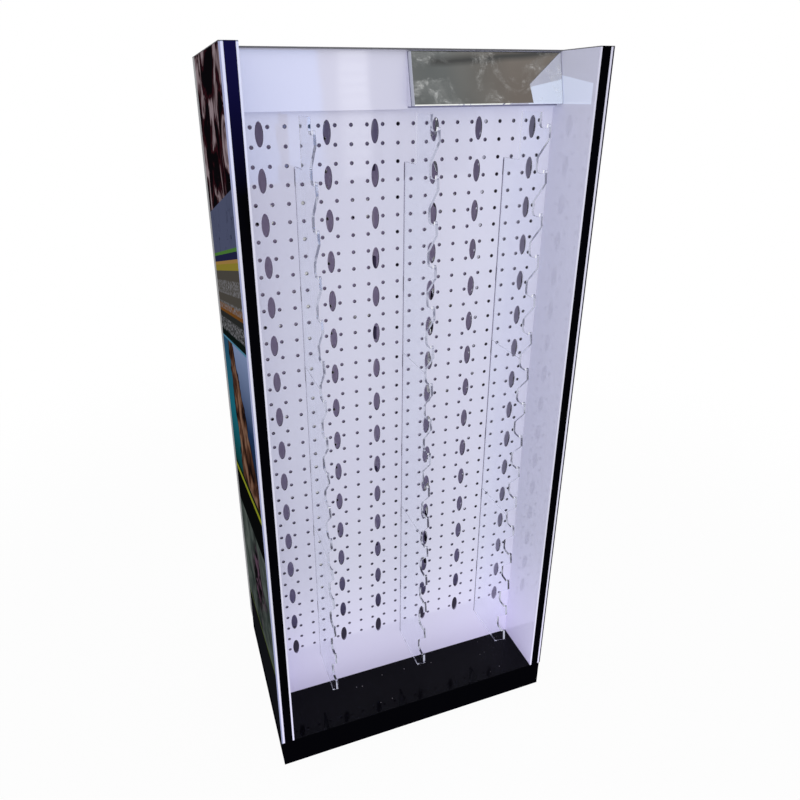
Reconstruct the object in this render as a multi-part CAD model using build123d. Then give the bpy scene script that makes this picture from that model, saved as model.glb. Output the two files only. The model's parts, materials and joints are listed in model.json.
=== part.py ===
from build123d import *

import math
import os

# Two-sided eyewear display rack. Millimetres, +Z up, front towards -Y, origin on the floor
# below the middle of the rack. Everything on the rear face is the front turned half round.

# ---- driving dimensions ----------------------------------------------------------------

OVERALL_HEIGHT = 1286.0
OVERALL_DEPTH = 374.0
BAY_WIDTH = 527.0  # between the two inner side sheets
BAY_DEPTH = 107.0  # from the side panels' front edge back to the perforated panel

INNER_SHEET = 3.5  # side panel layers, from the bay outwards
SIDE_CORE = 15.0
OUTER_SHEET = 4.0
GRAPHIC_BOARD = 2.5
SHEET_BREAK = 0.4  # broken edge of the polished sheets

BASE_HEIGHT = 62.0
DECK_THICK = 12.0
DECK_BREAK = 0.8
SKIRT_THICK = 12.0
SKIRT_LIFT = 2.0  # the skirt stays this far off the floor
FOOT_RADIUS = 13.0
FOOT_HEIGHT = 5.0
FOOT_CHAMFER = 1.0
CORNER_BLOCK = 42.0
CORNER_CHAMFER = 3.0

PANEL_THICK = 3.0
HOLE_RADIUS = 2.75
HOLE_COLUMNS = 20
HOLE_COLUMN_PITCH = 25.4
HOLE_ROWS = 37
HOLE_GRID_HEIGHT = 1000.0
TOP_HOLE_Z = 1181.3

SLOT_ROWS = 16
SLOT_PITCH = 65.8
TOP_SLOT_Z = 1171.4
SLOT_HALF_WIDTH = 6.2
SLOT_HALF_HEIGHT = 18.0
SLOT_STEPS = (-9, -5, -2, 2, 5, 9)  # column centres, in hole pitches from the middle

STRIP_STEPS = (-7, 0, 7)  # nose strips stand midway between each pair of slot columns
STRIP_NAMES = ("left", "centre", "right")
STRIP_THICK = 4.0
STRIP_GAP = 0.15  # between a plate and its neighbour above, below or behind
SEAT_PITCH = 65.0
SEATS_PER_PLATE = 5
PLATE_LENGTH = SEAT_PITCH * SEATS_PER_PLATE
WEB_TOP_Z = 1124.4  # top of the full-depth part of the upper plate
WEB_DEPTH = 98.0  # from the panel's face to the plate's front edge
SEAT_BELOW_TOP = 15.0  # the first seat below the top of its plate
NOTCH_DEPTH = 47.0  # the top rear corner is cut away under the leaning mirror
CROWN_Z = 1197.0  # top of the upper plate
TAB_HEIGHT = 25.0
TAB_REACH = 12.0
TAB_DROPS = (3.0, 186.0)  # tops of the two tabs, below the top of the plate
TAB_CLEARANCE = 0.3
TOE_RISE = 3.5  # the lowest plate's front corner stands this much above its rear corner

# One seat of a nose strip, as (out from the panel's face, up from the seat).
LIP_INNER_OUT = 118.5
LIP_INNER_TOP_OUT = 119.5
LIP_OUTER_OUT = 123.5
LIP_HEIGHT = 6.5
LIP_FOOT_OUT = 126.0
LIP_FOOT_DROP = 13.0
RAMP_DROP = 43.0
SEAT_FILLET = 6.5
LIP_FILLET = 2.2
RAMP_FILLET = 2.5

# The header plate and the mirror each lean back: bottom height of the front face, then how far
# that face stands out from the panel's face at its bottom and below the roof.
HEADER_LEAN = (1202.0, 10.0, 4.0)
HEADER_THICK = 3.0
HEADER_END_GAP = 0.5
RIB_THICK = 6.0
RIB_SPACING = 200.0
RIB_INSET = 8.0  # from the lower and upper edge of the header plate
MIRROR_LEAN = (1207.0, 29.0, 9.0)
MIRROR_LEFT_END = -1.5
MIRROR_THICK = 4.0
MIRROR_BEVEL = 1.5
MIRROR_TOP_GAP = 1.0
WEDGE_THICK = 3.0
WEDGE_MIDDLE = 130.0

ROOF_THICK = 2.0
ROOF_DEPTH = 184.0
BATTEN = 18.0

SCREW_RADIUS = 2.0
SCREW_HEAD_RADIUS = 4.0
SCREW_HEAD_HEIGHT = 2.2
SCREW_RECESS_RADIUS = 1.0
SCREW_RECESS_DEPTH = 1.1
SCREW_CLEARANCE = 0.05
SIDE_SCREW_LENGTH = 30.0
SIDE_SCREW_HEIGHTS = (0.08, 0.36, 0.64, 0.92)  # as parts of the side panel's height
DECK_SCREW_DEPTHS = (-0.75, 0.0, 0.75)  # as parts of half the rack's depth
ROOF_SCREW_LENGTH = 16.0

# ---- places that follow from them ------------------------------------------------------

BAY_HALF = BAY_WIDTH / 2
DEPTH_HALF = OVERALL_DEPTH / 2
PANEL_FACE = DEPTH_HALF - BAY_DEPTH  # distance of each panel's face from the middle plane
CORE_INNER = BAY_HALF + INNER_SHEET
CORE_OUTER = CORE_INNER + SIDE_CORE
SHEET_OUTER = CORE_OUTER + OUTER_SHEET
SIDE_HEIGHT = OVERALL_HEIGHT - BASE_HEIGHT
SKIRT_TOP = BASE_HEIGHT - DECK_THICK
ROOF_UNDER = OVERALL_HEIGHT - ROOF_THICK
PANEL_BACK = PANEL_FACE - PANEL_THICK

HALF_TURN = Rotation(0, 0, 180)


def box(x_span, y_span, z_span):
    """A block between two corners, each span being (low, high)."""
    low, high = zip(x_span, y_span, z_span)
    size = [b - a for a, b in zip(low, high)]
    return Pos(*low) * Box(*size, align=(Align.MIN, Align.MIN, Align.MIN))


def both_sides(shape):
    """The shape and its mirror image across the middle plane X = 0."""
    return [shape, mirror(shape, about=Plane.YZ)]


def save(name, *solids):
    """Write one node, made of one solid or of several that are alike."""
    shape = solids[0] if len(solids) == 1 else Compound(children=list(solids))
    export_step(shape, os.path.join("parts", name + ".step"))


def save_sides(name, shape):
    """Write the left piece, and the right one as its mirror image."""
    left, right = both_sides(shape)
    save("left_" + name, left)
    save("right_" + name, right)


def save_faces(name, *solids):
    """Write the front piece, and the rear one turned half round."""
    save("front_" + name, *solids)
    save("rear_" + name, *[HALF_TURN * solid for solid in solids])


# ---- screws ----------------------------------------------------------------------------


def screw(length):
    """A countersunk screw that points along -Z, with the top of its head at the origin."""
    shank = Pos(0, 0, -length / 2) * Cylinder(SCREW_RADIUS, length)
    head = Pos(0, 0, -SCREW_HEAD_HEIGHT / 2) * Cone(SCREW_RADIUS, SCREW_HEAD_RADIUS, SCREW_HEAD_HEIGHT)
    recess = Pos(0, 0, -SCREW_RECESS_DEPTH / 2) * Cylinder(SCREW_RECESS_RADIUS, SCREW_RECESS_DEPTH)
    return shank + head - recess


def screw_hole(length):
    """The space that a screw takes, with a little clearance all round."""
    shank_radius = SCREW_RADIUS + SCREW_CLEARANCE
    head_radius = SCREW_HEAD_RADIUS + SCREW_CLEARANCE
    head_height = SCREW_HEAD_HEIGHT + SCREW_CLEARANCE
    shank = Pos(0, 0, -(length + SCREW_CLEARANCE) / 2) * Cylinder(shank_radius, length + SCREW_CLEARANCE)
    head = Pos(0, 0, -head_height / 2) * Cone(shank_radius, head_radius, head_height)
    return shank + head


def batten_screw_places():
    """Screws from the left core board inwards into the upright battens."""
    heights = [BASE_HEIGHT + SIDE_HEIGHT * part for part in SIDE_SCREW_HEIGHTS]
    depths = (-(PANEL_BACK - BATTEN / 2), PANEL_BACK - BATTEN / 2)
    return [Pos(-CORE_OUTER, y, z) * Rotation(0, -90, 0) for y in depths for z in heights]


def deck_screw_places():
    """Screws from under the deck up into the left core board."""
    middle = -(CORE_INNER + CORE_OUTER) / 2
    depths = [DEPTH_HALF * part for part in DECK_SCREW_DEPTHS]
    return [Pos(middle, y, SKIRT_TOP) * Rotation(180, 0, 0) for y in depths]


def roof_screw_places():
    """Screws from the roof board down into the two top cleats."""
    depths = (-(PANEL_BACK - BATTEN / 2), PANEL_BACK - BATTEN / 2)
    spread = BAY_HALF - 2 * BATTEN
    return [Pos(x, y, OVERALL_HEIGHT) for y in depths for x in (-spread, 0, spread)]


def screws_at(places, length):
    return [place * screw(length) for place in places]


def drill(board, places, length):
    for place in places:
        board -= place * screw_hole(length)
    return board


# ---- base ------------------------------------------------------------------------------


def front_skirt():
    y = -DEPTH_HALF
    return box((-SHEET_OUTER, SHEET_OUTER), (y, y + SKIRT_THICK), (SKIRT_LIFT, SKIRT_TOP))


def left_skirt():
    reach = DEPTH_HALF - SKIRT_THICK
    x = -SHEET_OUTER
    return box((x, x + SKIRT_THICK), (-reach, reach), (SKIRT_LIFT, SKIRT_TOP))


def corner_places():
    """Centres of the four corner blocks inside the skirt."""
    x = SHEET_OUTER - SKIRT_THICK - CORNER_BLOCK / 2
    y = DEPTH_HALF - SKIRT_THICK - CORNER_BLOCK / 2
    return [(sx * x, sy * y) for sx in (-1, 1) for sy in (-1, 1)]


def corner_block():
    """A glue block that joins two skirt boards and carries a foot."""
    height = SKIRT_TOP - FOOT_HEIGHT
    block = Box(CORNER_BLOCK, CORNER_BLOCK, height, align=(Align.CENTER, Align.CENTER, Align.MIN))
    return chamfer(block.edges().filter_by(Axis.Z), CORNER_CHAMFER)


def foot():
    pad = Cylinder(FOOT_RADIUS, FOOT_HEIGHT, align=(Align.CENTER, Align.CENTER, Align.MIN))
    return chamfer(pad.edges().group_by(Axis.Z)[0], FOOT_CHAMFER)


def deck():
    board = box((-SHEET_OUTER, SHEET_OUTER), (-DEPTH_HALF, DEPTH_HALF), (SKIRT_TOP, BASE_HEIGHT))
    board = chamfer(board.edges().group_by(Axis.Z)[-1], DECK_BREAK)
    left = deck_screw_places()
    right = [HALF_TURN * place for place in left]
    return drill(board, left + right, SIDE_SCREW_LENGTH)


# ---- side panels -----------------------------------------------------------------------


def side_layer(inner, outer):
    """One layer of the left side panel, standing on the deck."""
    return box((-outer, -inner), (-DEPTH_HALF, DEPTH_HALF), (BASE_HEIGHT, OVERALL_HEIGHT))


def polished(sheet):
    """Break the edges at the front, the rear and the top of an upright sheet."""
    upright = sheet.edges().filter_by(Axis.Z)
    top = sheet.edges().group_by(Axis.Z)[-1].filter_by(Axis.Y)
    return chamfer(upright + top, SHEET_BREAK)


def side_core():
    board = side_layer(CORE_INNER, CORE_OUTER)
    return drill(board, batten_screw_places() + deck_screw_places(), SIDE_SCREW_LENGTH)


def inner_sheet():
    sheet = polished(side_layer(BAY_HALF, CORE_INNER))
    return drill(sheet, batten_screw_places(), SIDE_SCREW_LENGTH)


# ---- perforated panels and what holds them ----------------------------------------------


def hole_places():
    columns = [(i - (HOLE_COLUMNS - 1) / 2) * HOLE_COLUMN_PITCH for i in range(HOLE_COLUMNS)]
    row_pitch = HOLE_GRID_HEIGHT / (HOLE_ROWS - 1)
    rows = [TOP_HOLE_Z - i * row_pitch for i in range(HOLE_ROWS)]
    return [(x, z) for x in columns for z in rows]


def slot_places():
    rows = [TOP_SLOT_Z - i * SLOT_PITCH for i in range(SLOT_ROWS)]
    return [(step * HOLE_COLUMN_PITCH, z) for step in SLOT_STEPS for z in rows]


def plate_tops():
    """Tops of the upper, middle and lower plate of a nose strip."""
    return [WEB_TOP_Z - i * PLATE_LENGTH for i in range(3)]


def tab_slot_places():
    """Centres of the openings that the nose strips' tabs push into."""
    heights = [top - drop - TAB_HEIGHT / 2 for top in plate_tops() for drop in TAB_DROPS]
    return [(step * HOLE_COLUMN_PITCH, z) for step in STRIP_STEPS for z in heights]


def perforated_panel():
    """Drawn on the XZ plane, where the sheet is pushed back from its face."""
    height = ROOF_UNDER - BASE_HEIGHT
    sheet = Pos(0, BASE_HEIGHT + height / 2) * Rectangle(BAY_WIDTH, height)
    tab_slot = Rectangle(STRIP_THICK + 2 * TAB_CLEARANCE, TAB_HEIGHT + 2 * TAB_CLEARANCE)
    openings = [Pos(x, z) * Circle(HOLE_RADIUS) for x, z in hole_places()]
    openings += [Pos(x, z) * Ellipse(SLOT_HALF_WIDTH, SLOT_HALF_HEIGHT) for x, z in slot_places()]
    openings += [Pos(x, z) * tab_slot for x, z in tab_slot_places()]
    face = Face(sheet.face().outer_wire(), [o.face().outer_wire() for o in openings])
    front = Plane(origin=(0, -PANEL_FACE, 0), x_dir=(1, 0, 0), z_dir=(0, -1, 0))
    return extrude(front * face, PANEL_THICK, dir=(0, 1, 0))


def upright_batten():
    x = -BAY_HALF
    batten = box((x, x + BATTEN), (-PANEL_BACK, BATTEN - PANEL_BACK), (BASE_HEIGHT, ROOF_UNDER))
    return drill(batten, batten_screw_places(), SIDE_SCREW_LENGTH)


def cleat(z):
    """A rail behind the front panel, between the two uprights."""
    reach = BAY_HALF - BATTEN
    rail = box((-reach, reach), (-PANEL_BACK, BATTEN - PANEL_BACK), (z, z + BATTEN))
    return drill(rail, roof_screw_places(), ROOF_SCREW_LENGTH)


def roof_board():
    half = ROOF_DEPTH / 2
    board = box((-BAY_HALF, BAY_HALF), (-half, half), (ROOF_UNDER, OVERALL_HEIGHT))
    return drill(board, roof_screw_places(), ROOF_SCREW_LENGTH)


# ---- header plate and leaning mirror -------------------------------------------------------


def leaning_face(bottom_z, bottom_out, top_out):
    """A plane on a leaning front face, x to the right and y up the slope, and its length."""
    rise = ROOF_UNDER - bottom_z
    run = bottom_out - top_out
    lean = math.degrees(math.atan2(run, rise))
    foot_point = (0, -(PANEL_FACE + bottom_out), bottom_z)
    return Location(foot_point) * Location((0, 0, 0), (90 - lean, 0, 0)), math.hypot(rise, run)


def header_face_y(z):
    """Where the header plate's front face stands at one height."""
    bottom_z, bottom_out, top_out = HEADER_LEAN
    part = (z - bottom_z) / (ROOF_UNDER - bottom_z)
    return -(PANEL_FACE + bottom_out + (top_out - bottom_out) * part)


def header_plate():
    place, length = leaning_face(*HEADER_LEAN)
    width = BAY_WIDTH - 2 * HEADER_END_GAP
    return place * Box(width, length, HEADER_THICK, align=(Align.CENTER, Align.MIN, Align.MAX))


def header_rib(x):
    """A wedge between the perforated panel and the back of the header plate."""
    place, length = leaning_face(*HEADER_LEAN)
    low = place * Pos(0, RIB_INSET, -HEADER_THICK)
    high = place * Pos(0, length - RIB_INSET, -HEADER_THICK)
    return wedge_between(low.position, high.position, -PANEL_FACE, -PANEL_FACE, x, RIB_THICK)


def header_mirror():
    """The mirror covers the right half; its front edges are bevelled."""
    place, length = leaning_face(*MIRROR_LEAN)
    width = BAY_HALF - HEADER_END_GAP - MIRROR_LEFT_END
    glass = Box(width, length - MIRROR_TOP_GAP, MIRROR_THICK, align=(Align.MIN, Align.MIN, Align.MAX))
    glass = chamfer(glass.edges().group_by(Axis.Z)[-1], MIRROR_BEVEL)
    return place * (Pos(MIRROR_LEFT_END, 0, 0) * glass)


def mirror_wedge(x):
    """An upright plate that holds the back of the mirror off the header plate."""
    place, length = leaning_face(*MIRROR_LEAN)
    low = (place * Pos(0, 0, -MIRROR_THICK)).position
    high = (place * Pos(0, length - MIRROR_TOP_GAP, -MIRROR_THICK)).position
    return wedge_between(low, high, header_face_y(low.Z), header_face_y(high.Z), x, WEDGE_THICK)


def mirror_wedge_places():
    """One wedge at each end of the mirror and one between them."""
    left = MIRROR_LEFT_END + WEDGE_THICK / 2
    right = BAY_HALF - HEADER_END_GAP - WEDGE_THICK / 2
    return (left, WEDGE_MIDDLE, right)


def wedge_between(low, high, low_back_y, high_back_y, x, thick):
    """A plate across X at x, between two points in front and the surface behind them."""
    outline = Polyline(
        (low.Y, low.Z),
        (high.Y, high.Z),
        (high_back_y, high.Z),
        (low_back_y, low.Z),
        close=True,
    )
    return Pos(x, 0, 0) * extrude(Plane.YZ * make_face(outline), thick / 2, both=True)


# ---- nose strips ---------------------------------------------------------------------------


def seat_outline(seat_z):
    """One eyewear seat, from its top down: hollow seat, upturned lip, ramp back to the web."""
    return [
        (WEB_DEPTH, seat_z),
        (LIP_INNER_OUT, seat_z),
        (LIP_INNER_TOP_OUT, seat_z + LIP_HEIGHT),
        (LIP_OUTER_OUT, seat_z + LIP_HEIGHT),
        (LIP_FOOT_OUT, seat_z - LIP_FOOT_DROP),
        (WEB_DEPTH, seat_z - RAMP_DROP),
    ]


def tab_outline(tab_top):
    """One tab on the rear edge, from its bottom up."""
    tab_bottom = tab_top - TAB_HEIGHT
    return [(0, tab_bottom), (-TAB_REACH, tab_bottom), (-TAB_REACH, tab_top), (0, tab_top)]


def plate_outline(web_top, crown, toe_rise):
    """Corners of one plate as (out from the panel's face, height); crown is its topmost edge."""
    bottom = web_top - PLATE_LENGTH + 2 * STRIP_GAP
    first_seat = web_top - SEAT_BELOW_TOP
    seats = [first_seat - i * SEAT_PITCH for i in range(SEATS_PER_PLATE)]
    corners = [(0, web_top)]
    if crown > web_top:
        corners += [(NOTCH_DEPTH, web_top), (NOTCH_DEPTH, crown)]
        seats.insert(0, first_seat + SEAT_PITCH)
    corners.append((WEB_DEPTH, crown))
    for seat_z in seats:
        corners += seat_outline(seat_z)
    corners += [(WEB_DEPTH, bottom + toe_rise), (0, bottom)]
    for drop in reversed(TAB_DROPS):
        corners += tab_outline(web_top - drop)
    return corners, seats


def corners_at(face, out, heights):
    """The face's corners at one distance from the panel and at any of some heights."""
    wanted = [(-(PANEL_FACE + STRIP_GAP + out), z) for z in heights]
    return [
        v
        for v in face.vertices()
        if any(abs(v.Y - y) < 0.01 and abs(v.Z - z) < 0.01 for y, z in wanted)
    ]


def strip_plate(web_top, crown, toe_rise):
    """A flat clear plate that stands edge-on to the panel."""
    corners, seats = plate_outline(web_top, crown, toe_rise)
    outline = Polyline(*[(-(PANEL_FACE + STRIP_GAP + out), z) for out, z in corners], close=True)
    face = Plane.YZ * make_face(outline)
    lip_tops = [z + LIP_HEIGHT for z in seats]
    rounds = [
        (WEB_DEPTH, seats, SEAT_FILLET),
        (LIP_INNER_OUT, seats, SEAT_FILLET / 2),
        (LIP_INNER_TOP_OUT, lip_tops, LIP_FILLET / 2),
        (LIP_OUTER_OUT, lip_tops, LIP_FILLET),
        (LIP_FOOT_OUT, [z - LIP_FOOT_DROP for z in seats], RAMP_FILLET),
        (WEB_DEPTH, [z - RAMP_DROP for z in seats], SEAT_FILLET),
    ]
    for out, heights, radius in rounds:
        face = fillet(corners_at(face, out, heights), radius)
    return extrude(face, STRIP_THICK / 2, both=True)


def save_strips():
    """Nine plates on the front and nine on the rear; the upper ones reach up to the crown."""
    for step, side in zip(STRIP_STEPS, STRIP_NAMES):
        for level, web_top in zip(("upper", "middle", "lower"), plate_tops()):
            crown = CROWN_Z if level == "upper" else web_top
            toe_rise = TOE_RISE if level == "lower" else 0.0
            plate = strip_plate(web_top, crown, toe_rise)
            save_faces(f"{side}_strip_{level}", Pos(step * HOLE_COLUMN_PITCH, 0, 0) * plate)


# ---- write every node -------------------------------------------------------------------------


def main():
    os.makedirs("parts", exist_ok=True)

    save_faces("base_skirt", front_skirt())
    save_sides("base_skirt", left_skirt())
    save("base_corner_blocks", *[Pos(x, y, FOOT_HEIGHT) * corner_block() for x, y in corner_places()])
    save("base_feet", *[Pos(x, y, 0) * foot() for x, y in corner_places()])
    save("base_deck", deck())

    save_sides("inner_sheet", inner_sheet())
    save_sides("side_core", side_core())
    save_sides("outer_sheet", polished(side_layer(CORE_OUTER, SHEET_OUTER)))
    save_sides("graphic_board", polished(side_layer(SHEET_OUTER, SHEET_OUTER + GRAPHIC_BOARD)))

    save_faces("perforated_panel", perforated_panel())
    save_faces("left_batten", upright_batten())
    save_faces("right_batten", mirror(upright_batten(), about=Plane.YZ))
    save_faces("bottom_cleat", cleat(BASE_HEIGHT))
    save_faces("top_cleat", cleat(ROOF_UNDER - BATTEN))
    save("roof_board", roof_board())

    save_faces("header_plate", header_plate())
    save_faces("header_ribs", *[header_rib(x) for x in (-RIB_SPACING, 0, RIB_SPACING)])
    save_faces("header_mirror", header_mirror())
    save_faces("mirror_wedges", *[mirror_wedge(x) for x in mirror_wedge_places()])

    save_strips()

    batten_screws = screws_at(batten_screw_places(), SIDE_SCREW_LENGTH)
    deck_screws = screws_at(deck_screw_places(), SIDE_SCREW_LENGTH)
    save("batten_screws", *[s for one in batten_screws for s in both_sides(one)])
    save("side_panel_screws", *[s for one in deck_screws for s in both_sides(one)])
    save("roof_screws", *screws_at(roof_screw_places(), ROOF_SCREW_LENGTH))


main()
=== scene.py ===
import json
import math

import bpy
from mathutils import Matrix, Vector


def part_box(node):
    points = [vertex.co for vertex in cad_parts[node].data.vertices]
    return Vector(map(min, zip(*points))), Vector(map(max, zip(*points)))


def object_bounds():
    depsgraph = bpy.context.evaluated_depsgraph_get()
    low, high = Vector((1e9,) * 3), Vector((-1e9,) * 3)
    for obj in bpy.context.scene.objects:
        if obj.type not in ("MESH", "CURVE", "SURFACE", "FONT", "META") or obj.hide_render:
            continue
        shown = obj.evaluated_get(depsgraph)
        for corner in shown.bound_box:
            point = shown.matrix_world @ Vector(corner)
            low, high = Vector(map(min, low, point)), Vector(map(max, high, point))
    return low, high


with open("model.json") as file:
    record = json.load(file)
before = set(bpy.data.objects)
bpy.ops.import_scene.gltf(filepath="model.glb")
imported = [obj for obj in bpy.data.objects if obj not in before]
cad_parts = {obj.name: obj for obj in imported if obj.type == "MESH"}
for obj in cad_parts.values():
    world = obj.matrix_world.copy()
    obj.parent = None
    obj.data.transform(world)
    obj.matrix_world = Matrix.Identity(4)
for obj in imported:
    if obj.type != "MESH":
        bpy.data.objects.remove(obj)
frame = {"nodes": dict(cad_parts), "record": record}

CAD_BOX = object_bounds()
NODES = frame["nodes"]

# ---- sizes taken from the frame (metres) ------------------------------------------------

TOP = CAD_BOX[1].z
BOARD_LOW, BOARD_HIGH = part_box("left_graphic_board")
PRINT_DEPTH = BOARD_HIGH.y - BOARD_LOW.y
PRINT_FACE = abs(BOARD_LOW.x)
PANEL_LOW, PANEL_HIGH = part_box("front_perforated_panel")
PANEL_FACE = abs(PANEL_LOW.y)
PANEL_BACK = abs(PANEL_HIGH.y)
MIRROR_LOW, MIRROR_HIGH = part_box("front_header_mirror")

# ---- look: colours are display colours from 0 to 1, sizes are metres ----------------------

WHITE_CLEAN = (0.815, 0.815, 0.890)
WHITE_DULL = (0.800, 0.797, 0.875)
PANEL_CLEAN = (0.805, 0.805, 0.875)
PANEL_DULL = (0.785, 0.782, 0.860)
# dark of the perforated panels' cut edges, also used for the painted shade rings round their holes
CUT_EDGE_AND_HOLE_SHADE = (0.055, 0.050, 0.085)
# painted shade along the rack's top edge; also the lighter grain of the roof board
TOP_SHADE_GREY = (0.400, 0.395, 0.410)
GLOSS_BLACK = (0.018, 0.018, 0.032)
BOARD_BLACK = (0.020, 0.020, 0.040)
SHEEN = (0.070, 0.065, 0.240)  # navy sheen at the top of the core boards' edges
SHEEN_RISES = (1.10, 1.27)
SHEEN_SIDE = (0.040, 0.050)  # x times y, so that only the front left and rear right edges have it
FIBRE_BLACK = (0.012, 0.012, 0.020)
ROOF_GREY = (0.360, 0.355, 0.370)
SILVER = (0.965, 0.970, 0.965)
MIRROR_PAINT = (0.300, 0.280, 0.420)
DUST = (0.520, 0.510, 0.520)
# painted light: a glow on the deck inside the core
DECK_IN_CORE = (0.200, 0.185, 0.245)  # light that reaches the deck inside the hollow core
# Painted light: a glow on the perforated panels' inner faces for the light inside the hollow core, from the
# deck up to the roof, as parts of the height.
CORE_GLOW = (
    (0.05, (0.120, 0.110, 0.180)),
    (0.30, (0.200, 0.172, 0.222)),
    (0.55, (0.225, 0.190, 0.232)),
    (0.80, (0.235, 0.195, 0.240)),
    (0.95, (0.170, 0.155, 0.220)),
)
# The clear plates: light passes with a trace of tint, and their rear edges are matt.
ACRYLIC_INDEX = 1.49
PLATE_TINT = (0.985, 0.992, 1.000, 1.0)
PLATE_SHADE = (0.930, 0.940, 0.950, 1.0)
PLATE_REAR = (0.450, 0.430, 0.530)
# Painted light and shade for rays caught inside the clear plates, which their edges show: mostly pale, with
# short dark runs.
TRAPPED_PALE = (0.740, 0.740, 0.810)
TRAPPED_DARK = (0.260, 0.250, 0.330)
TRAPPED_HIGH = (0.520, 0.520, 0.600)  # the dark runs are paler in the upper half
TRAPPED_AFTER = 3.5  # bounces
# Painted light: a glow added to the white sheets, as a share of their colour: most just above the deck.
SHEET_GLOW = (0.10, 0.34)
GLOW_FADES = (0.06, 0.42)
GLOW_LOW = (0.790, 0.750, 0.930)
# painted light: extra glow on the panel's right part
GLOW_RIGHT = (0.05, 0.26, 0.0, 0.16)  # the panel's right part glows more: places, then shares
# Painted light: the patch of light beside the mirror, a glow on the cheek; its upper edge drops towards the
# front.
CHEEK_FACE = PANEL_HIGH.x  # the cheeks are the side panels' inner faces
MIRROR_OUT = abs(MIRROR_LOW.y)
PATCH_TOP = 1.2475
PATCH_SLOPE = 0.16  # metres of drop per metre outward
PATCH_FRONT = 0.179
PATCH_COLOUR = (0.770, 0.830, 0.920)
PATCH_LIGHT = (0.03, 0.28)  # beside the patch and in it
# The leaning mirror sees more of the cheek, and a patch that is brighter and has another slope.
PATCH_MORE = 0.09
PATCH_MIRRORED = 1.5
PATCH_SLOPE_MIRRORED = -0.42
PATCH_FRONT_MIRRORED = 0.192
# painted highlight: a pale band at each end of the mirror for its bevels catching the light
MIRROR_END = 0.003  # width of the pale bevel at the mirror's inner end
MIRROR_END_HIGHLIGHT = (0.690, 0.700, 0.770)
SHADOW_DROP = 0.0022  # height of the shadow line under the mirror
SHADOW_START = -0.001  # its left end
SHADOW_COLOUR = (0.260, 0.240, 0.420)
# The grid of small round holes in the perforated panels.
HOLE_COLUMN_PITCH = 0.0254
HOLE_ROWS = 37
HOLE_ROW_PITCH = 1.0 / 36
HOLE_TOP = 1.1813
HOLE_REACH = 10 * HOLE_COLUMN_PITCH
# outer radius of the painted shade ring round each hole
HOLE_SHADE_RADIUS = 0.0034
EDGE_SOFT = 0.0002  # metres over which one finish turns into the next
# height of the painted shade strip along the top edges
TOP_SHADE_HEIGHT = 0.0014  # the grey strip on the top edges
REAR_EDGE = 0.0004  # the clear plates' rear edges lie within this of the panel's face


def linear(colour):
    """A display colour as the linear light that the shaders use."""
    def one(c):
        return c / 12.92 if c <= 0.04045 else ((c + 0.055) / 1.055) ** 2.4
    return tuple(one(c) for c in colour[:3]) + (1.0,)


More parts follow.
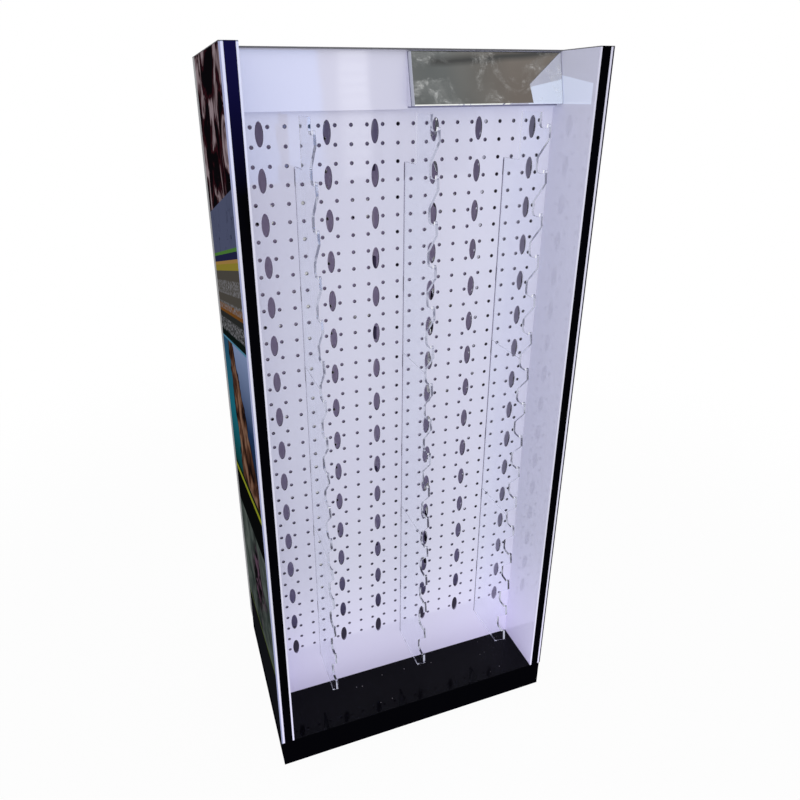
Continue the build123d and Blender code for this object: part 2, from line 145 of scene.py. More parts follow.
class Graph:
    """A node tree that is built with short calls. Every call returns an output socket."""

    def __init__(self, tree):
        self.tree = tree
        self.place = None

    def node(self, kind, **settings):
        made = self.tree.nodes.new("ShaderNode" + kind)
        for key, value in settings.items():
            setattr(made, key, value)
        return made

    def feed(self, socket, value):
        """Set a socket to a number or a colour, or link it to another socket."""
        if isinstance(value, bpy.types.NodeSocket):
            self.tree.links.new(value, socket)
        elif value is not None:
            socket.default_value = value

    def position(self):
        """Object coordinates: metres in the row frame, and they ride with the body."""
        if self.place is None:
            self.place = self.node("TexCoord").outputs["Object"]
        return self.place

    def axes(self, vector=None):
        split = self.node("SeparateXYZ")
        self.feed(split.inputs[0], vector or self.position())
        return split.outputs[0], split.outputs[1], split.outputs[2]

    def vector(self, x, y, z):
        joined = self.node("CombineXYZ")
        for socket, value in zip(joined.inputs, (x, y, z)):
            self.feed(socket, value)
        return joined.outputs[0]

    def math(self, operation, a, b=None, clamp=False):
        made = self.node("Math", operation=operation, use_clamp=clamp)
        self.feed(made.inputs[0], a)
        self.feed(made.inputs[1], b)
        return made.outputs[0]

    def times(self, first, *others):
        product = first
        for factor in others:
            product = self.math("MULTIPLY", product, factor)
        return product

    def between(self, value, low, high):
        """1 where low < value < high, else 0."""
        above = self.math("GREATER_THAN", value, low)
        return self.times(above, self.math("LESS_THAN", value, high))

    def dot(self, vector, direction):
        made = self.node("VectorMath", operation="DOT_PRODUCT")
        self.feed(made.inputs[0], vector)
        self.feed(made.inputs[1], direction)
        return made.outputs["Value"]

    def stretch(self, factors, vector=None):
        made = self.node("VectorMath", operation="MULTIPLY")
        self.feed(made.inputs[0], vector or self.position())
        self.feed(made.inputs[1], factors)
        return made.outputs[0]

    def span(self, value, low, high, to_low=0.0, to_high=1.0, smooth=False):
        """Map low..high to to_low..to_high, held at both ends."""
        made = self.node("MapRange")
        if smooth:
            made.interpolation_type = "SMOOTHSTEP"
        for name, number in (
            ("Value", value),
            ("From Min", low),
            ("From Max", high),
            ("To Min", to_low),
            ("To Max", to_high),
        ):
            self.feed(made.inputs[name], number)
        return made.outputs[0]

    def band(self, value, low, high, soft=0.0005):
        """1 between low and high, else 0, with soft edges."""
        up = self.span(value, low - soft, low + soft)
        down = self.span(value, high - soft, high + soft, 1.0, 0.0)
        return self.times(up, down)

    def noise(self, scale, detail=2.0, roughness=0.5, vector=None, distortion=0.0):
        made = self.node("TexNoise")
        self.feed(made.inputs["Vector"], vector or self.position())
        made.inputs["Scale"].default_value = scale
        made.inputs["Detail"].default_value = detail
        made.inputs["Roughness"].default_value = roughness
        made.inputs["Distortion"].default_value = distortion
        return made.outputs[0]

    def cells(self, scale, vector=None):
        """Distance to the nearest of scattered points, and a random number for each cell."""
        made = self.node("TexVoronoi")
        self.feed(made.inputs["Vector"], vector or self.position())
        made.inputs["Scale"].default_value = scale
        split = self.node("SeparateColor")
        self.feed(split.inputs[0], made.outputs["Color"])
        return made.outputs["Distance"], split.outputs[0]

    def blend(self, factor, a, b):
        """Colour a where factor is 0, colour b where it is 1."""
        made = self.node("Mix", data_type="RGBA")
        self.feed(made.inputs[0], factor)
        self.feed(made.inputs[6], a)
        self.feed(made.inputs[7], b)
        return made.outputs[2]

    def mixed(self, factor, a, b):
        """Shader a where factor is 0, shader b where it is 1."""
        made = self.node("MixShader")
        self.feed(made.inputs[0], factor)
        self.tree.links.new(a, made.inputs[1])
        self.tree.links.new(b, made.inputs[2])
        return made.outputs[0]

    def ramp(self, factor, stops, steps=False):
        """Colours along 0..1, given as (place, display colour)."""
        made = self.node("ValToRGB")
        ramp = made.color_ramp
        ramp.interpolation = "CONSTANT" if steps else "LINEAR"
        while len(ramp.elements) < len(stops):
            ramp.elements.new(1.0)
        for element, (place, colour) in zip(ramp.elements, stops):
            element.position = place
        for element, (place, colour) in zip(ramp.elements, stops):
            element.color = linear(colour)
        self.feed(made.inputs[0], factor)
        return made.outputs[0]

    def bump(self, height, distance, strength=1.0):
        made = self.node("Bump")
        made.inputs["Strength"].default_value = strength
        made.inputs["Distance"].default_value = distance
        self.feed(made.inputs["Height"], height)
        return made.outputs[0]


def new_material(name):
    """An empty material's graph, its principled shader and itself."""
    material = bpy.data.materials.new(name)
    material.use_nodes = True
    material.cycles.emission_sampling = "NONE"
    tree = material.node_tree
    tree.nodes.clear()
    graph = Graph(tree)
    shader = graph.node("BsdfPrincipled")
    out = graph.node("OutputMaterial")
    tree.links.new(shader.outputs[0], out.inputs["Surface"])
    return graph, shader, material


def finish_shader(graph, shader, **sockets):
    for name, value in sockets.items():
        graph.feed(shader.inputs[name.replace("_", " ")], value)


# ---- materials ---------------------------------------------------------------------------


def smudges(graph, low, high, scale=5.0):
    """Roughness that varies as on a sheet that has been wiped by hand."""
    wiped = graph.noise(scale, 4.0, 0.6, graph.stretch((1.0, 1.0, 0.35)))
    return graph.span(wiped, 0.35, 0.68, low, high)


def white_tone(graph, clean, dull):
    """White with faint clouds and a few specks of dust."""
    cloud = graph.noise(2.5, 3.0)
    tone = graph.blend(graph.span(cloud, 0.3, 0.7), linear(dull), linear(clean))
    distance, pick = graph.cells(70.0)
    speck = graph.times(graph.span(distance, 0.03, 0.05, 1.0, 0.0), graph.span(pick, 0.93, 0.94))
    return graph.blend(graph.times(speck, 0.35), tone, linear(DUST))


def sheet_glow(graph, tone):
    """Painted light on the white sheets: its colour and its strength at each height."""
    z = graph.axes()[2]
    low = graph.span(z, *GLOW_FADES, 1.0, 0.0, smooth=True)
    colour = graph.blend(low, tone, linear(GLOW_LOW))
    return colour, graph.span(low, 0.0, 1.0, *SHEET_GLOW)


def rightward(graph):
    """Distance to the right of the rack's middle, for someone who looks at that face."""
    x, y, _ = graph.axes()
    return graph.times(x, graph.math("SIGN", graph.times(y, -1.0)))


def beside_mirror(graph):
    """1 on the cheek beside the mirror, level with it, on each face of the rack.

    The leaning mirror also sees a part of the cheek below its own level."""
    _, y, z = graph.axes()
    inside = graph.between(rightward(graph), 0.0, CHEEK_FACE + EDGE_SOFT)
    outside_core = graph.math("GREATER_THAN", graph.math("ABSOLUTE", y), PANEL_FACE)
    mirrored = graph.node("LightPath").outputs["Is Glossy Ray"]
    lowest = graph.span(mirrored, 0.0, 1.0, MIRROR_LOW.z, MIRROR_LOW.z - PATCH_MORE)
    level = graph.math("GREATER_THAN", z, lowest)
    return graph.times(inside, outside_core, level)


def thrown_back(graph):
    """Strength of the painted light patch, a glow for the light that the mirror throws on the cheek beside
    it.
    """
    _, y, z = graph.axes()
    out = graph.math("ABSOLUTE", y)
    mirrored = graph.node("LightPath").outputs["Is Glossy Ray"]
    slope = graph.span(mirrored, 0.0, 1.0, PATCH_SLOPE, PATCH_SLOPE_MIRRORED)
    drop = graph.times(graph.math("SUBTRACT", out, MIRROR_OUT), slope)
    upper = graph.math("ADD", z, drop)
    lit = graph.span(upper, PATCH_TOP - 0.001, PATCH_TOP, 1.0, 0.0)
    reach = graph.span(mirrored, 0.0, 1.0, PATCH_FRONT, PATCH_FRONT_MIRRORED)
    patch = graph.times(lit, graph.math("LESS_THAN", out, reach))
    share = graph.span(patch, 0.0, 1.0, *PATCH_LIGHT)
    return graph.times(beside_mirror(graph), share, graph.span(mirrored, 0.0, 1.0, 1.0, PATCH_MIRRORED))


def under_mirror(graph):
    """1 in the shadow line on the header plate, right below the mirror."""
    z = graph.axes()[2]
    half = graph.between(rightward(graph), SHADOW_START, CHEEK_FACE)
    soft = SHADOW_DROP / 3
    return graph.times(half, graph.band(z, MIRROR_LOW.z - SHADOW_DROP, MIRROR_LOW.z + soft, soft))


def with_top_shade(graph, tone):
    """The tone with a thin grey strip of painted shade along the very top of the rack."""
    z = graph.axes()[2]
    shade_strip = graph.span(z, TOP - TOP_SHADE_HEIGHT - EDGE_SOFT, TOP - TOP_SHADE_HEIGHT)
    return graph.blend(shade_strip, tone, linear(TOP_SHADE_GREY))


def white_sheet():
    """Polished white acrylic: faint unevenness and smudges, with painted light and shade: a glow, a patch
    of light beside the mirror, a shadow line under it and a grey strip along the top.
    """
    graph, shader, material = new_material("white_acrylic")
    tone = with_top_shade(graph, white_tone(graph, WHITE_CLEAN, WHITE_DULL))
    shadow = under_mirror(graph)
    tone = graph.blend(graph.times(shadow, 0.8), tone, linear(SHADOW_COLOUR))
    colour, strength = sheet_glow(graph, tone)
    patch = thrown_back(graph)
    finish_shader(
        graph,
        shader,
        Base_Color=tone,
        Roughness=smudges(graph, 0.02, 0.06),
        IOR=ACRYLIC_INDEX,
        Specular_IOR_Level=0.75,
        Emission_Color=graph.blend(graph.span(patch, 0.0, 0.1), colour, linear(PATCH_COLOUR)),
        Emission_Strength=graph.math("ADD", strength, patch),
        Normal=graph.bump(graph.noise(9.0, 2.0), 0.0006, 0.25),
    )
    return material


def hole_rim_shade(graph):
    """1 on the painted shade rings round the small round holes, which lie on a regular grid."""
    x, _, z = graph.axes()
    across = graph.math("ADD", graph.math("DIVIDE", x, HOLE_COLUMN_PITCH), 0.5)
    down = graph.math("DIVIDE", graph.math("SUBTRACT", HOLE_TOP, z), HOLE_ROW_PITCH)
    squares = []
    for steps, pitch in ((across, HOLE_COLUMN_PITCH), (down, HOLE_ROW_PITCH)):
        off = graph.math("SUBTRACT", steps, graph.math("ROUND", steps))
        off = graph.times(off, pitch)
        squares.append(graph.times(off, off))
    away = graph.math("SQRT", graph.math("ADD", *squares))
    shade_ring = graph.span(away, HOLE_SHADE_RADIUS - 0.0005, HOLE_SHADE_RADIUS, 1.0, 0.0)
    rows = graph.band(down, -0.4, HOLE_ROWS - 0.6, 0.01)
    columns = graph.span(graph.math("ABSOLUTE", x), HOLE_REACH, HOLE_REACH + EDGE_SOFT, 1.0, 0.0)
    return graph.times(shade_ring, rows, columns)


def perforated_sheet():
    """White sheet with dull dark cut edges and painted shade rings round its holes; its inner face carries
    painted light, a glow for the light inside the hollow core.
    """
    graph, shader, material = new_material("white_panel")
    _, y, z = graph.axes()
    out = graph.math("ABSOLUTE", y)
    cut = graph.band(out, PANEL_BACK + EDGE_SOFT, PANEL_FACE - EDGE_SOFT, EDGE_SOFT / 2)
    inner = graph.span(out, PANEL_BACK + EDGE_SOFT / 2, PANEL_BACK + EDGE_SOFT, 1.0, 0.0)
    # dark cut edges, and painted shade rings round the holes
    dark = graph.math("MAXIMUM", cut, graph.times(hole_rim_shade(graph), 0.8))
    tone = graph.blend(dark, white_tone(graph, PANEL_CLEAN, PANEL_DULL), linear(CUT_EDGE_AND_HOLE_SHADE))
    cloud = graph.span(graph.noise(5.0), 0.3, 0.7, -0.06, 0.06)
    # painted light: the glow on the inner face, darker near the deck and the roof
    painted_core_light = graph.ramp(graph.math("ADD", graph.math("DIVIDE", z, TOP), cloud), CORE_GLOW)
    colour, strength = sheet_glow(graph, tone)
    # painted light: more glow on the panel's right part
    strength = graph.math("ADD", strength, graph.span(rightward(graph), *GLOW_RIGHT))
    finish_shader(
        graph,
        shader,
        Base_Color=tone,
        Roughness=smudges(graph, 0.02, 0.06),
        IOR=ACRYLIC_INDEX,
        Emission_Color=graph.blend(inner, colour, painted_core_light),
        Emission_Strength=graph.math("MAXIMUM", inner, strength),
        Normal=graph.bump(graph.noise(9.0, 2.0), 0.0006, 0.25),
    )
    return material


def clear_acrylic():
    """Clear plate. Light passes to what lies behind it without a hard shadow; its rear edge is matt; rays
    caught inside it end in painted light and shade.
    """
    graph, shader, material = new_material("clear_acrylic")
    tree = material.node_tree
    glass = graph.node("BsdfGlass")
    glass.inputs["IOR"].default_value = ACRYLIC_INDEX
    glass.inputs["Color"].default_value = PLATE_TINT
    graph.feed(glass.inputs["Roughness"], graph.span(graph.noise(30.0, 3.0), 0.4, 0.7, 0.0, 0.03))
    graph.feed(glass.inputs["Normal"], graph.bump(graph.noise(45.0, 2.0), 0.0004, 0.15))
    clear = graph.node("BsdfTransparent")
    clear.inputs[0].default_value = PLATE_SHADE
    matt = graph.node("BsdfDiffuse")
    matt.inputs[0].default_value = linear(PLATE_REAR)
    _, y, z = graph.axes()
    seam = PANEL_FACE + REAR_EDGE
    rear = graph.span(graph.math("ABSOLUTE", y), seam, seam + EDGE_SOFT, 1.0, 0.0)
    path = graph.node("LightPath")
    passing = graph.math("MAXIMUM", path.outputs["Is Shadow Ray"], path.outputs["Is Diffuse Ray"])
    late = graph.math("GREATER_THAN", path.outputs["Ray Depth"], TRAPPED_AFTER)
    trapped = graph.times(late, graph.node("NewGeometry").outputs["Backfacing"])
    inside = graph.node("Emission")
    streak = graph.noise(24.0, 3.0, 0.6)
    runs = graph.blend(graph.span(z, 0.45, 0.95), linear(TRAPPED_DARK), linear(TRAPPED_HIGH))
    caught = graph.blend(graph.span(streak, 0.47, 0.55), linear(TRAPPED_PALE), runs)
    graph.feed(inside.inputs["Color"], caught)
    body = graph.mixed(rear, glass.outputs[0], matt.outputs[0])
    body = graph.mixed(trapped, body, inside.outputs[0])
    body = graph.mixed(passing, body, clear.outputs[0])
    out = next(n for n in tree.nodes if n.type == "OUTPUT_MATERIAL")
    tree.links.new(body, out.inputs["Surface"])
    tree.nodes.remove(shader)
    return material


def mirror_sheet():
    """Silvered glass with a hazy, fingermarked face, a painted highlight for the bevels at its ends and
    dark painted edges.
    """
    graph, shader, material = new_material("mirror")
    facing = graph.node("NewGeometry").outputs["True Normal"]
    lean = math.atan2(MIRROR_HIGH.y - MIRROR_LOW.y, MIRROR_HIGH.z - MIRROR_LOW.z)
    outward = Vector((0.0, -math.cos(lean), math.sin(lean)))
    toward = graph.math("ABSOLUTE", graph.dot(facing, outward))
    across = graph.math("ABSOLUTE", graph.dot(facing, (outward.x, -outward.y, outward.z)))
    aim = graph.math("MAXIMUM", toward, across)
    silver = graph.span(aim, 0.6, 0.65)
    place = graph.stretch((1.0, 1.0, 1.3))
    haze = graph.span(graph.noise(16.0, 5.0, 0.62, place, 0.8), 0.48, 0.66)
    prints = graph.span(graph.noise(60.0, 5.0, 0.7, place, 0.5), 0.50, 0.66)
    marks = graph.times(haze, prints, 0.45)
    veil = graph.math("ADD", graph.times(haze, 0.07), marks, clamp=True)
    tone = graph.blend(silver, linear(MIRROR_PAINT), linear(SILVER))
    # painted highlight: pale bands at both ends take the place of the silvering
    side = graph.math("ABSOLUTE", graph.axes()[0])
    inner = graph.span(side, MIRROR_END, MIRROR_END + EDGE_SOFT, 1.0, 0.0)
    outer = graph.span(side, MIRROR_HIGH.x - MIRROR_END / 2 - EDGE_SOFT, MIRROR_HIGH.x - MIRROR_END / 2)
    ends = graph.math("MAXIMUM", inner, outer)
    tone = graph.blend(graph.times(ends, silver), tone, linear(MIRROR_END_HIGHLIGHT))
    silvered = graph.times(silver, graph.math("SUBTRACT", 1.0, ends))
    finish_shader(
        graph,
        shader,
        Base_Color=tone,
        Metallic=graph.times(silvered, graph.math("SUBTRACT", 1.0, veil)),
        Roughness=graph.span(haze, 0.0, 1.0, 0.015, 0.09),
        Normal=graph.bump(graph.noise(6.0, 2.0), 0.002, 0.12),
    )
    return material


def grey_board():
    """Satin grey laminate of the roof board; its grey also stands in for the shade along the rack's top
    edge.
    """
    graph, shader, material = new_material("grey_board")
    grain = graph.noise(220.0, 3.0, 0.6)
    tone = graph.blend(graph.span(grain, 0.3, 0.7), linear(ROOF_GREY), linear(TOP_SHADE_GREY))
    finish_shader(graph, shader, Base_Color=tone, Roughness=graph.span(grain, 0.3, 0.7, 0.4, 0.55))
    return material


def black_board():
    """Cut and lacquered edge of the core board: satin black with a trace of fibre, and a painted navy sheen
    high up near its front left and rear right edges.
    """
    graph, shader, material = new_material("black_core")
    fibre = graph.noise(60.0, 4.0, 0.6, graph.stretch((1.0, 1.0, 0.08)))
    tone = graph.blend(graph.span(fibre, 0.3, 0.7), linear(FIBRE_BLACK), linear(BOARD_BLACK))
    x, y, z = graph.axes()
    # painted highlight: the navy sheen
    side = graph.span(graph.times(x, y), *SHEEN_SIDE)
    sheen = graph.times(graph.span(z, *SHEEN_RISES), side)
    tone = graph.blend(sheen, tone, linear(SHEEN))
    finish_shader(
        graph,
        shader,
        Base_Color=tone,
        Roughness=graph.span(fibre, 0.3, 0.7, 0.35, 0.5),
        Specular_IOR_Level=0.0,
        Normal=graph.bump(fibre, 0.0003, 0.3),
    )
    return material


def black_gloss():
    """High-gloss black board with dust, wipe marks and painted light, a faint glow, on the deck inside the
    core.
    """
    graph, shader, material = new_material("black_gloss")
    near, pick = graph.cells(80.0)
    speck = graph.times(graph.span(near, 0.07, 0.10, 1.0, 0.0), graph.span(pick, 0.86, 0.87))
    film = graph.span(graph.noise(7.0, 5.0, 0.65), 0.5, 0.8, 0.0, 0.012)
    upright = graph.dot(graph.node("NewGeometry").outputs["True Normal"], (0.0, 0.0, 1.0))
    top = graph.span(upright, 0.5, 0.6)
    dirt = graph.math("ADD", graph.times(speck, 0.8), film, clamp=True)
    tone = graph.blend(graph.times(dirt, top), linear(GLOSS_BLACK), linear(DUST))
    rough = graph.math("ADD", smudges(graph, 0.04, 0.13, 6.0), graph.times(speck, 0.5), clamp=True)
    core = graph.span(graph.math("ABSOLUTE", graph.axes()[1]), PANEL_BACK - EDGE_SOFT, PANEL_BACK, 1.0, 0.0)
    finish_shader(
        graph,
        shader,
        Base_Color=tone,
        Roughness=rough,
        Specular_IOR_Level=graph.span(top, 0.0, 1.0, 0.0, 0.09),
        Emission_Color=linear(DECK_IN_CORE),
        Emission_Strength=graph.times(core, top),
        Normal=graph.bump(graph.noise(10.0, 2.0), 0.0006, 0.2),
    )
    return material


# The print on the side panels: an abstract design of sloping bands and three soft pictures.
# Each band is (height of its lower edge at the front, display colour); heights in metres.
PRINT_SLOPE = 0.090  # how far the bands drop from the front edge to the rear edge
PRINT_BANDS = (
    (0.000, (0.075, 0.080, 0.095)),
    (0.236, (0.300, 0.350, 0.120)),
    (0.246, (0.060, 0.075, 0.070)),
    (0.496, (0.035, 0.040, 0.042)),
    (0.572, (0.520, 0.540, 0.140)),
    (0.584, (0.040, 0.110, 0.070)),
    (0.596, (0.300, 0.500, 0.600)),
    (0.871, (0.050, 0.085, 0.075)),
    (0.886, (0.160, 0.165, 0.160)),
    (0.921, (0.420, 0.270, 0.120)),
    (0.940, (0.290, 0.275, 0.255)),
    (1.000, (0.530, 0.480, 0.185)),
    (1.007, (0.600, 0.470, 0.260)),
    (1.012, (0.130, 0.140, 0.260)),
    (1.026, (0.290, 0.460, 0.210)),
    (1.031, (0.300, 0.320, 0.420)),
    (1.110, (0.060, 0.050, 0.060)),
)
PRINT_TOP = 1.4
DUSK = (1.110, 1.40)
SHORE = (0.596, 0.871)
MIST = (0.246, 0.496)
CURLED = (1.040, 1.100)
GRAIN_BANDS = ((0.888, 0.913), (0.930, 0.945), (0.960, 0.984))  # rows of pale grain
GRAIN_COLOUR = (0.480, 0.480, 0.500)
MARGIN = 0.035  # unprinted strip along the rear edge
MARGIN_GREY = (0.660, 0.660, 0.670)
PRINT_EDGE = 0.0003  # the print covers the outer face only, to within this
BOARD_EDGE_DARK = (0.140, 0.130, 0.180)
BOARD_EDGE_PALE = (0.620, 0.640, 0.780)
CURL_COLOUR = (0.070, 0.080, 0.130)


def dusk_picture(graph, across, height):
    """A dark sky: near-black with burgundy and a few pale mauve folds."""
    place = graph.vector(0.0, graph.times(across, 0.8), height)
    fold = graph.noise(11.0, 3.0, 0.5, place, 1.5)
    return graph.ramp(
        fold,
        (
            (0.48, (0.045, 0.038, 0.050)),
            (0.52, (0.200, 0.070, 0.095)),
            (0.55, (0.090, 0.050, 0.070)),
            (0.57, (0.330, 0.260, 0.275)),
            (0.64, (0.560, 0.500, 0.520)),
        ),
    )


def curls(graph, across, height):
    """Thin dark curling lines."""
    place = graph.vector(0.0, across, height)
    swirl = graph.noise(11.0, 1.0, 0.4, place, 2.5)
    return graph.band(swirl, 0.493, 0.507, 0.004)


# Water and sky of the shore picture, from its bottom to its top.
NEAR_WATER = (
    (0.0, (0.030, 0.050, 0.090)),
    (0.5, (0.120, 0.200, 0.330)),
    (1.0, (0.480, 0.540, 0.680)),
)
FAR_WATER = (
    (0.0, (0.050, 0.230, 0.230)),
    (0.5, (0.100, 0.400, 0.470)),
    (1.0, (0.150, 0.290, 0.400)),
)
# The rock stands at this distance from the front edge; it leans back and narrows upwards.
ROCK_FOOT = 0.09
ROCK_LEAN = 0.13
ROCK_WIDTHS = (0.175, 0.080)


def shore_picture(graph, across, height):
    """Teal water under a pale sky, with a dark-edged stack of warm rock."""
    up = graph.span(height, *SHORE)
    near = graph.ramp(up, NEAR_WATER)
    far = graph.ramp(up, FAR_WATER)
    middle = graph.math("ADD", graph.times(up, ROCK_LEAN), ROCK_FOOT)
    back = graph.blend(graph.span(graph.math("SUBTRACT", across, middle), -0.02, 0.02), near, far)
    wobble = graph.noise(16.0, 3.0, 0.55, graph.vector(0.0, across, height), 0.5)
    off = graph.math("ABSOLUTE", graph.math("SUBTRACT", across, middle))
    off = graph.math("ADD", off, graph.times(wobble, 0.09))
    wide = graph.span(up, 0.0, 1.0, *ROCK_WIDTHS)
    depth = graph.math("SUBTRACT", wide, off)
    rock = graph.ramp(
        wobble,
        (
            (0.38, (0.080, 0.050, 0.050)),
            (0.50, (0.310, 0.200, 0.150)),
            (0.62, (0.500, 0.380, 0.310)),
        ),
    )
    rock = graph.blend(graph.span(depth, 0.004, 0.016), linear((0.050, 0.045, 0.055)), rock)
    return graph.blend(graph.span(depth, 0.0, 0.003), back, rock)


MASS_PLACE = (0.13, 0.38)  # of the dark mass in the mist: across and up


def mist_picture(graph, across, height):
    """Dark grey-green haze round one darker soft mass with a mauve vein."""
    place = graph.vector(0.0, across, height)
    haze = graph.noise(14.0, 4.0, 0.6, place)
    back = graph.ramp(haze, ((0.35, (0.140, 0.170, 0.165)), (0.65, (0.330, 0.360, 0.345))))
    out = graph.math("ABSOLUTE", graph.math("SUBTRACT", across, MASS_PLACE[0]))
    up = graph.math("ABSOLUTE", graph.math("SUBTRACT", height, MASS_PLACE[1]))
    away = graph.math("ADD", graph.times(out, 9.0), graph.times(up, 6.0))
    away = graph.math("ADD", away, graph.times(haze, 0.9))
    fold = graph.noise(26.0, 2.0, 0.5, place, 0.8)
    vein = graph.ramp(fold, ((0.5, (0.060, 0.055, 0.065)), (0.6, (0.330, 0.250, 0.310))))
    return graph.blend(graph.span(away, 0.9, 1.3, 1.0, 0.0), back, vein)


def printed_design(graph):
    """Colour of the print at each place, sloping bands first, then pictures, grain and margin."""
    _, y, z = graph.axes()
    across = graph.math("SUBTRACT", y, BOARD_LOW.y)
    height = graph.math("ADD", z, graph.times(across, PRINT_SLOPE / PRINT_DEPTH))
    stops = [(place / PRINT_TOP, colour) for place, colour in PRINT_BANDS]
    design = graph.ramp(graph.math("DIVIDE", height, PRINT_TOP), stops, steps=True)
    for picture, (low, high) in ((dusk_picture, DUSK), (shore_picture, SHORE), (mist_picture, MIST)):
        design = graph.blend(graph.band(height, low, high), design, picture(graph, across, height))
    curled = graph.times(graph.band(height, *CURLED, 0.01), curls(graph, across, height))
    design = graph.blend(curled, design, linear(CURL_COLOUR))
    grain = graph.span(graph.noise(180.0, 2.0, 0.6), 0.50, 0.56)
    for low, high in GRAIN_BANDS:
        row = graph.times(graph.band(height, low, high), grain)
        design = graph.blend(row, design, linear(GRAIN_COLOUR))
    edge = PRINT_DEPTH - MARGIN
    bare = graph.span(across, edge - 0.0005, edge + 0.0005)
    return graph.blend(bare, design, linear(MARGIN_GREY))


def printed_board():
    """Board printed on its outer face. Its cut edges are pale front left and rear right, else dark."""
    graph, shader, material = new_material("graphic")
    x, y, _ = graph.axes()
    inside = PRINT_FACE - PRINT_EDGE
    printed = graph.span(graph.math("ABSOLUTE", x), inside, inside + 0.0001)
    pale_side = graph.math("GREATER_THAN", graph.times(x, y), 0.0)
    edge = graph.blend(pale_side, linear(BOARD_EDGE_DARK), linear(BOARD_EDGE_PALE))
    finish_shader(
        graph,
        shader,
        Base_Color=with_top_shade(graph, graph.blend(printed, edge, printed_design(graph))),
        Roughness=smudges(graph, 0.6, 0.8),
        Specular_IOR_Level=0.0,
        Normal=graph.bump(graph.noise(350.0, 2.0), 0.0001, 0.15),
    )
    return material


def timber():
    """Dark-stained softwood of the battens and cleats."""
    graph, shader, material = new_material("timber")
    rings = graph.noise(22.0, 3.0, 0.5, graph.stretch((1.0, 1.0, 0.06)), 1.2)
    tone = graph.ramp(rings, ((0.35, (0.22, 0.18, 0.18)), (0.65, (0.32, 0.27, 0.26))))
    finish_shader(graph, shader, Base_Color=tone, Roughness=0.6, Normal=graph.bump(rings, 0.0004, 0.4))
    return material


def zinc():
    """Bright zinc-plated steel of the screws."""
    graph, shader, material = new_material("steel")
    spin = graph.noise(400.0, 3.0)
    tone = graph.ramp(spin, ((0.3, (0.62, 0.62, 0.63)), (0.7, (0.78, 0.78, 0.78))))
    rough = graph.span(spin, 0.3, 0.7, 0.25, 0.45)
    finish_shader(graph, shader, Base_Color=tone, Metallic=1.0, Roughness=rough)
    return material


def rubber():
    """Black rubber of the feet."""
    graph, shader, material = new_material("rubber")
    grain = graph.noise(600.0, 3.0)
    tone = graph.ramp(grain, ((0.3, (0.09, 0.09, 0.09)), (0.7, (0.15, 0.15, 0.15))))
    finish_shader(graph, shader, Base_Color=tone, Roughness=0.75, Normal=graph.bump(grain, 0.0002, 0.5))
    return material


MATERIALS = {
    "white_acrylic": white_sheet,
    "white_panel": perforated_sheet,
    "clear_acrylic": clear_acrylic,
    "mirror": mirror_sheet,
    "black_core": black_board,
    "black_gloss": black_gloss,
    "grey_board": grey_board,
    "graphic": printed_board,
    "timber": timber,
    "steel": zinc,
    "rubber": rubber,
}


def dress_nodes():
    """Give every CAD node the material of its slot in the record."""
    made = {slot: make() for slot, make in MATERIALS.items()}
    for part in frame["record"]["subparts"]:
        mesh = NODES[part["node"]].data
        mesh.materials.clear()
        mesh.materials.append(made[part["material_slot"]])


# ---- stage: floor, light and camera --------------------------------------------------------

WHITE = (1.0, 1.0, 1.0, 1.0)
# painted shade: floor and backdrop take this dark where seen through both perforated panels
BEYOND = (0.006, 0.005, 0.009, 1.0)  # what shows through both perforated panels
BEHIND_PLATES = ((0.35, (0.68, 0.68, 0.76)), (0.60, (0.84, 0.84, 0.90)))  # far light through plates
KEY_FROM = Vector((-0.20, -0.96, 0.12)).normalized()
DOME_LEVEL = 0.50
KEY_LEVEL = 0.76
KEY_SPREAD = 1.5  # power of the cosine: the higher, the narrower the bright part
FAR = 100.0  # metres
FLOOR_REACH = 9.0
FLOOR_FADE = (0.9, 2.2)  # the floor turns into the plain backdrop between these distances
FLOOR_COLOUR = (0.90, 0.90, 0.90, 1.0)
FLOOR_GLOW = 0.96  # least share of the backdrop in the floor, which softens the contact shadow


def eye_place(graph):
    """Where the camera stands."""
    eye = graph.node("VectorTransform", vector_type="POINT", convert_from="CAMERA", convert_to="WORLD")
    eye.inputs[0].default_value = (0.0, 0.0, 0.0)
    return eye.outputs[0]


def seen_through_core(graph, toward, reach):
    """1 where the camera looks in this direction through both perforated panels.

    toward is the way from the camera, and the panels must stand less than reach times it away."""
    eye_x, eye_y, eye_z = graph.axes(eye_place(graph))
    way_x, way_y, way_z = graph.axes(toward)
    seen = 1.0
    for plane in (-PANEL_FACE, PANEL_FACE):
        steps = graph.math("DIVIDE", graph.math("SUBTRACT", plane, eye_y), way_y)
        x = graph.math("ADD", eye_x, graph.times(steps, way_x))
        z = graph.math("ADD", eye_z, graph.times(steps, way_z))
        seen = graph.times(seen, graph.between(steps, 0.0, reach))
        seen = graph.times(seen, graph.between(x, PANEL_LOW.x, PANEL_HIGH.x))
        seen = graph.times(seen, graph.between(z, PANEL_LOW.z, PANEL_HIGH.z))
    return seen


def straight_ray(graph):
    """1 for rays from the camera and for those that passed through clear plates, else 0."""
    path = graph.node("LightPath")
    return graph.math("MAXIMUM", path.outputs["Is Camera Ray"], path.outputs["Is Transmission Ray"])


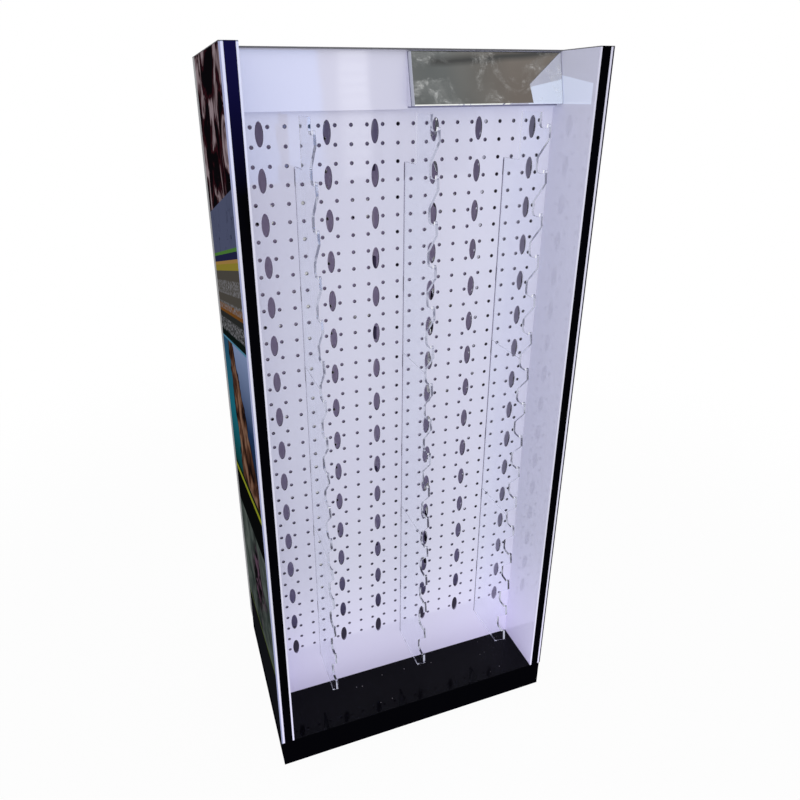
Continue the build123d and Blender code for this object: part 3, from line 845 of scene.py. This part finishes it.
def floor():
    """A plain white floor that fades into the backdrop, with painted shade where the camera sees it through
    both perforated panels.
    """
    mesh = bpy.data.meshes.new("floor")
    r = FLOOR_REACH
    mesh.from_pydata([(-r, -r, 0), (r, -r, 0), (r, r, 0), (-r, r, 0)], [], [(0, 1, 2, 3)])
    plane = bpy.data.objects.new("floor", mesh)
    bpy.context.scene.collection.objects.link(plane)
    graph, shader, material = new_material("floor")
    tree = material.node_tree
    x, y, _ = graph.axes()
    away = graph.math("POWER", graph.math("ADD", graph.times(x, x), graph.times(y, y)), 0.5)
    finish_shader(graph, shader, Base_Color=FLOOR_COLOUR, Roughness=0.9, Specular_IOR_Level=0.0)
    toward = graph.node("VectorMath", operation="SUBTRACT")
    graph.feed(toward.inputs[0], graph.node("NewGeometry").outputs["Position"])
    graph.feed(toward.inputs[1], eye_place(graph))
    hidden = graph.times(seen_through_core(graph, toward.outputs[0], 1.0), straight_ray(graph))
    glow = graph.node("Emission")
    graph.feed(glow.inputs["Color"], graph.blend(hidden, WHITE, BEYOND))
    plain = graph.math("MAXIMUM", graph.span(away, *FLOOR_FADE, FLOOR_GLOW, 1.0, smooth=True), hidden)
    out = next(n for n in tree.nodes if n.type == "OUTPUT_MATERIAL")
    tree.links.new(graph.mixed(plain, shader.outputs[0], glow.outputs[0]), out.inputs["Surface"])
    mesh.materials.append(material)


# The room that polished surfaces reflect. Angles in radians: azimuth from the front towards the right,
# and height above the horizon. Each window is (from, to, linear light).
WINDOW_UP = (-0.20, 0.32)
WINDOWS = (
    (-0.10, 0.264, (1.10, 1.60, 2.90, 1.0)),
    (0.264, 0.291, (0.80, 0.80, 0.88, 1.0)),
    (0.291, 0.333, (2.70, 2.70, 2.80, 1.0)),
)
BLIND = WINDOWS[-1][:2]
SLAT_GREY = (0.500, 0.500, 0.550)
SLATS = 420.0  # slat edges of the window blind, per radian of height
BEAM_UP = (0.500, 0.510)
BEAM_SIDE = (0.472, 0.484)
BEAM_TILT = 0.19
BEAM_GREY = (0.300, 0.300, 0.300)
WARM_SIDE = (0.50, 0.60)
COOL_WALL = ((0.38, (0.360, 0.375, 0.375)), (0.62, (0.470, 0.475, 0.475)))
WARM_WALL = ((0.38, (0.450, 0.420, 0.400)), (0.62, (0.570, 0.545, 0.520)))


def room(graph, direction):
    """What polished surfaces reflect: a plain room with tall windows in front on the right."""
    x, y, z = graph.axes(direction)
    side = graph.math("ARCTAN2", x, graph.times(y, -1.0))
    up = graph.math("ARCSINE", z)
    cloud = graph.noise(3.2, 4.0, 0.55, direction)
    cool = graph.ramp(cloud, COOL_WALL)
    warm = graph.ramp(cloud, WARM_WALL)
    walls = graph.blend(graph.span(side, *WARM_SIDE), cool, warm)
    level = graph.math("ADD", up, graph.times(graph.math("SUBTRACT", side, BEAM_SIDE[0]), BEAM_TILT))
    beam = graph.times(graph.band(level, *BEAM_UP, 0.004), graph.span(side, *BEAM_SIDE))
    walls = graph.blend(beam, walls, linear(BEAM_GREY))
    tall = graph.band(up, *WINDOW_UP, 0.05)
    for low, high, colour in WINDOWS:
        pane = graph.times(graph.band(side, low, high, 0.004), tall)
        walls = graph.blend(pane, walls, colour)
    slat = graph.span(graph.math("SINE", graph.times(up, SLATS)), -0.3, 0.3)
    blind = graph.times(graph.between(side, *BLIND), tall, slat)
    return graph.blend(graph.times(blind, 0.4), walls, linear(SLAT_GREY))


def studio_light():
    """A soft dome, brighter in front. Polished surfaces see the room instead, and the dome shows painted
    shade where the camera looks through both perforated panels.
    """
    world = bpy.data.worlds.new("studio")
    bpy.context.scene.world = world
    world.use_nodes = True
    tree = world.node_tree
    tree.nodes.clear()
    graph = Graph(tree)
    direction = graph.node("TexCoord").outputs["Generated"]
    key = graph.math("MAXIMUM", graph.dot(direction, KEY_FROM), 0.0)
    dome = graph.math("ADD", DOME_LEVEL, graph.times(graph.math("POWER", key, KEY_SPREAD), KEY_LEVEL))
    soft = graph.vector(dome, dome, dome)
    path = graph.node("LightPath")
    colour = graph.blend(path.outputs["Is Glossy Ray"], soft, room(graph, direction))
    cloud = graph.noise(3.0, 2.0, 0.5, direction)
    through = graph.ramp(cloud, BEHIND_PLATES)
    colour = graph.blend(path.outputs["Is Transmission Ray"], colour, through)
    colour = graph.blend(path.outputs["Is Camera Ray"], colour, WHITE)
    hidden = graph.times(seen_through_core(graph, direction, FAR), straight_ray(graph))
    colour = graph.blend(hidden, colour, BEYOND)
    background = graph.node("Background")
    graph.feed(background.inputs["Color"], colour)
    out = graph.node("OutputWorld")
    tree.links.new(background.outputs[0], out.inputs["Surface"])


# The camera: millimetres for the lens, metres for its place, parts of the frame for its shift.
SENSOR = 36.0
LENS = 28.66
SHIFT = (0.0364, -0.0528)
EYE = (-0.3936, -1.0554, 1.2226)
EYE_RIGHT = (0.9451, -0.3265, -0.0101)
EYE_FORWARD = (0.2982, 0.8750, -0.3814)


def camera():
    """Eye level with the rack's top, close, in front and to the left, looking down."""
    data = bpy.data.cameras.new("camera")
    data.sensor_width = SENSOR
    data.lens = LENS
    data.shift_x, data.shift_y = SHIFT
    eye = bpy.data.objects.new("camera", data)
    right = Vector(EYE_RIGHT).normalized()
    forward = Vector(EYE_FORWARD).normalized()
    up = right.cross(forward)
    turn = Matrix((right, up, -forward)).transposed()
    eye.matrix_world = Matrix.Translation(EYE) @ turn.to_4x4()
    bpy.context.scene.collection.objects.link(eye)
    bpy.context.scene.camera = eye


dress_nodes()
floor()
studio_light()
camera()
bpy.context.scene.view_settings.view_transform = "Standard"
